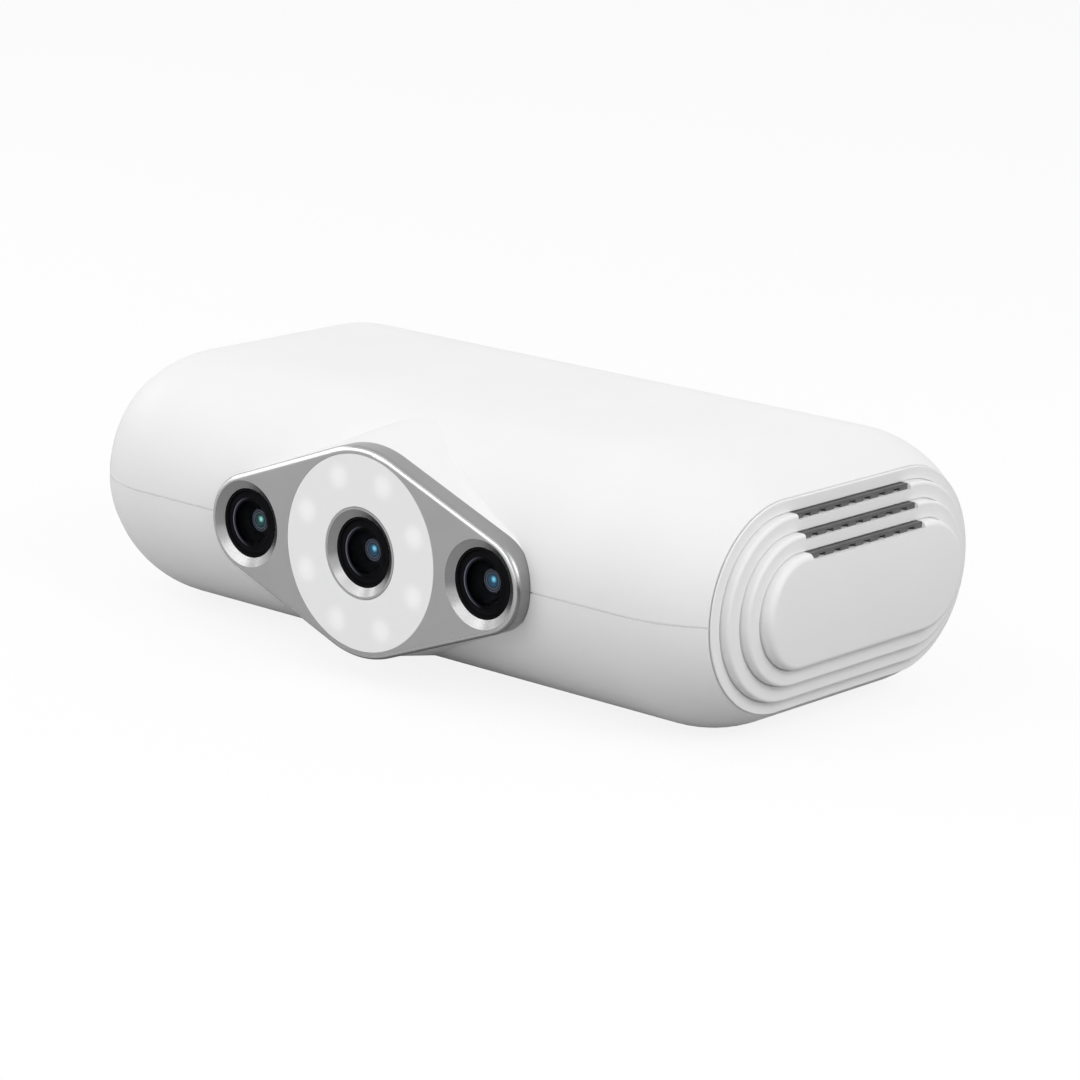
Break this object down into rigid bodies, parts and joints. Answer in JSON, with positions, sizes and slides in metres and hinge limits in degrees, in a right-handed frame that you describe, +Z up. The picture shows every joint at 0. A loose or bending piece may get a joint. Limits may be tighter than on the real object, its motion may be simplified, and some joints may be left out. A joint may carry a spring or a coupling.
{
  "type": "handheld three-d scanner",
  "caption": "Handheld three-d scanner: rounded white case, silver diamond bezel with side lenses and a ring-lit centre camera, terraced vent caps, rear button and sockets, tripod socket below.",
  "frame": {"origin": "bottom centre of the whole object, on the surface it rests on", "axes": "+X to the right of someone facing the lenses, +Y from the bezel towards the rear panel, +Z up"},
  "size_m": [0.155, 0.083, 0.046],
  "materials": {
    "shell_white": "satin white moulded plastic",
    "cap_white": "satin white moulded plastic",
    "bezel_metal": "fine blasted silver anodising",
    "diffuser": "translucent white",
    "circuit_board": "solder mask",
    "lamp": "white lamp package",
    "bench_metal": "bead blasted",
    "screw_steel": "plated",
    "barrel_black": "black anti-glare",
    "lens_glass": "coated",
    "chip_black": "moulded package",
    "ribbon": "flat ribbon",
    "connector": "ivory moulding",
    "panel_grey": "satin pale grey",
    "vent_grey": "moulded grey",
    "button_grey": "semi-gloss",
    "switch_black": "moulded",
    "light_pipe": "clear",
    "socket_steel": "drawn shell",
    "brass": "turned"
  },
  "bodies": {
    "scanner": {"bench_screws": "screw_steel", "bezel_screws": "screw_steel", "board_screws": "screw_steel", "button_board": "circuit_board", "button_switch": "switch_black", "centre_lens_ring": "bezel_metal", "colour_board": "circuit_board", "colour_front_lens": "lens_glass", "colour_housing": "barrel_black", "colour_inner_lens": "lens_glass", "colour_ribbon": "ribbon", "colour_sensor": "chip_black", "data_socket": "socket_steel", "data_tongue": "switch_black", "fan_frame": "switch_black", "fan_screws": "screw_steel", "front_bezel": "bezel_metal", "heat_sink": "bench_metal", "infrared_board": "circuit_board", "infrared_front_lens": "lens_glass", "infrared_housing": "barrel_black", "infrared_inner_lens": "lens_glass", "infrared_ribbon": "ribbon", "infrared_sensor": "chip_black", "led_board": "circuit_board", "led_board_screws": "screw_steel", "left_end_cap": "cap_white", "lower_shell": "shell_white", "main_board": "circuit_board", "memory_chips": "chip_black", "optical_bench": "bench_metal", "power_inductors": "chip_black", "power_jack": "switch_black", "power_pin": "brass", "processor": "chip_black", "projector_board": "circuit_board", "projector_emitter": "lamp", "projector_front_lens": "lens_glass", "projector_heat_sink": "bench_metal", "projector_housing": "barrel_black", "projector_inner_lens": "lens_glass", "projector_ribbon": "ribbon", "projector_slide": "lens_glass", "rear_panel": "panel_grey", "ribbon_connectors": "connector", "right_end_cap": "cap_white", "ring_diffuser": "diffuser", "ring_leds": "lamp", "sensor_board_screws": "screw_steel", "shell_screws": "screw_steel", "status_led": "lamp", "status_light_pipe": "light_pipe", "tripod_insert": "brass", "upper_shell": "shell_white", "vent_combs": "vent_grey"},
    "scan_button": {"scan_button": "button_grey", "switch_plunger": "switch_black"},
    "fan_rotor": {"fan_rotor": "switch_black"}
  },
  "joints": [
    {"name": "scan_button_press", "type": "slide", "parent": "scanner", "child": "scan_button", "axis": [0, -1, 0], "range_m": [0, 0.0006], "stiffness_N_per_m": 2000},
    {"name": "fan_spin", "type": "hinge", "parent": "scanner", "child": "fan_rotor", "pos_m": [0.062, 0.0015, 0.023], "axis": [1, 0, 0], "continuous": true}
  ]
}
